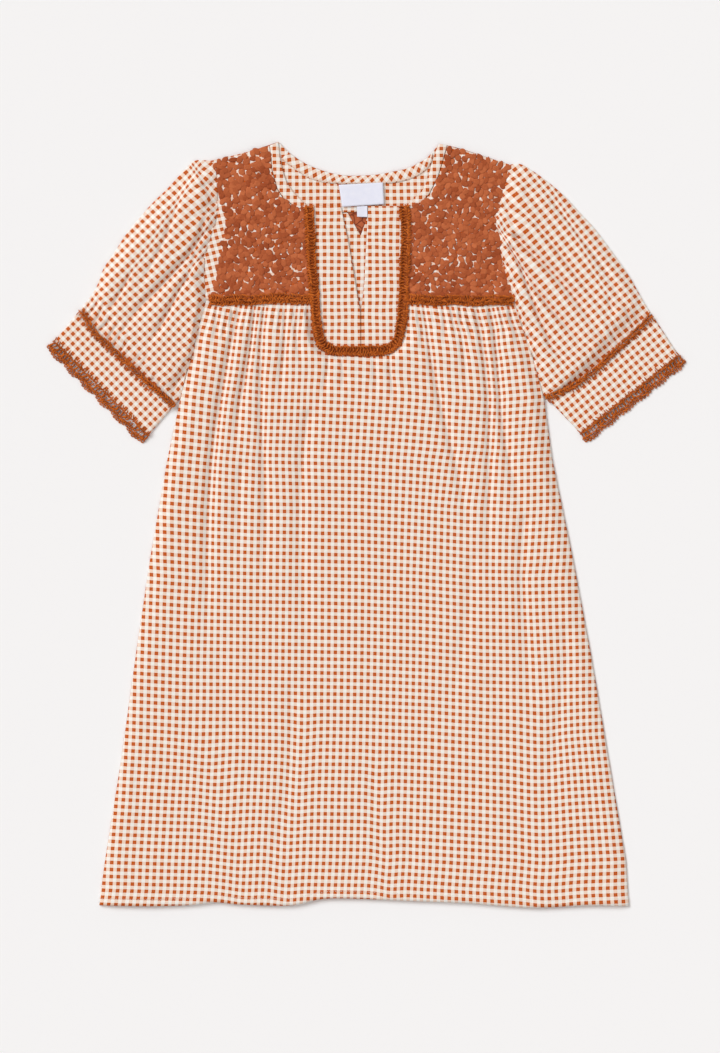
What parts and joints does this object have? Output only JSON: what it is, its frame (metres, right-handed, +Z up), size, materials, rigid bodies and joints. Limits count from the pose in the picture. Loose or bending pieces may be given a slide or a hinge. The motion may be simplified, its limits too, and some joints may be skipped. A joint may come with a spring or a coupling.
{
  "type": "mini dress",
  "caption": "Gathered A-line mini dress in checked cotton, laid flat: embroidered yokes, slit bib, crochet trims and puffed short sleeves with laced cuffs.",
  "frame": {"origin": "under the middle of the dress's outline, on the surface that it lies on", "axes": "+Z up from the surface, out of the dress's front; +Y from the hem to the shoulders; +X to the right as seen from above, the wearer's left"},
  "size_m": [0.7275, 0.88, 0.007],
  "materials": {
    "gingham": "matt plain-weave cotton, rust and cream check",
    "embroidery": "dense rust thread embroidery with a slight sheen",
    "crochet": "crocheted ochre-rust cotton yarn",
    "woven_label": "smooth woven label tape, bare"
  },
  "bodies": {
    "root": {"back_panel": "gingham", "back_yoke": "embroidery", "back_neck_facing": "gingham", "back_neck_binding": "gingham", "label": "woven_label", "size_tab": "woven_label", "front_panel": "gingham", "front_yoke_left": "embroidery", "front_yoke_right": "embroidery", "neck_band_left": "gingham", "neck_band_right": "gingham", "bib_left": "gingham", "bib_right": "gingham", "slit_facing": "gingham", "bib_trim": "crochet", "yoke_trim_left": "crochet", "yoke_trim_right": "crochet", "sleeve_left": "gingham", "sleeve_right": "gingham", "cuff_left": "gingham", "cuff_right": "gingham", "cuff_trim_left": "crochet", "cuff_trim_right": "crochet", "cuff_lace_left": "crochet", "cuff_lace_right": "crochet"}
  },
  "joints": []
}
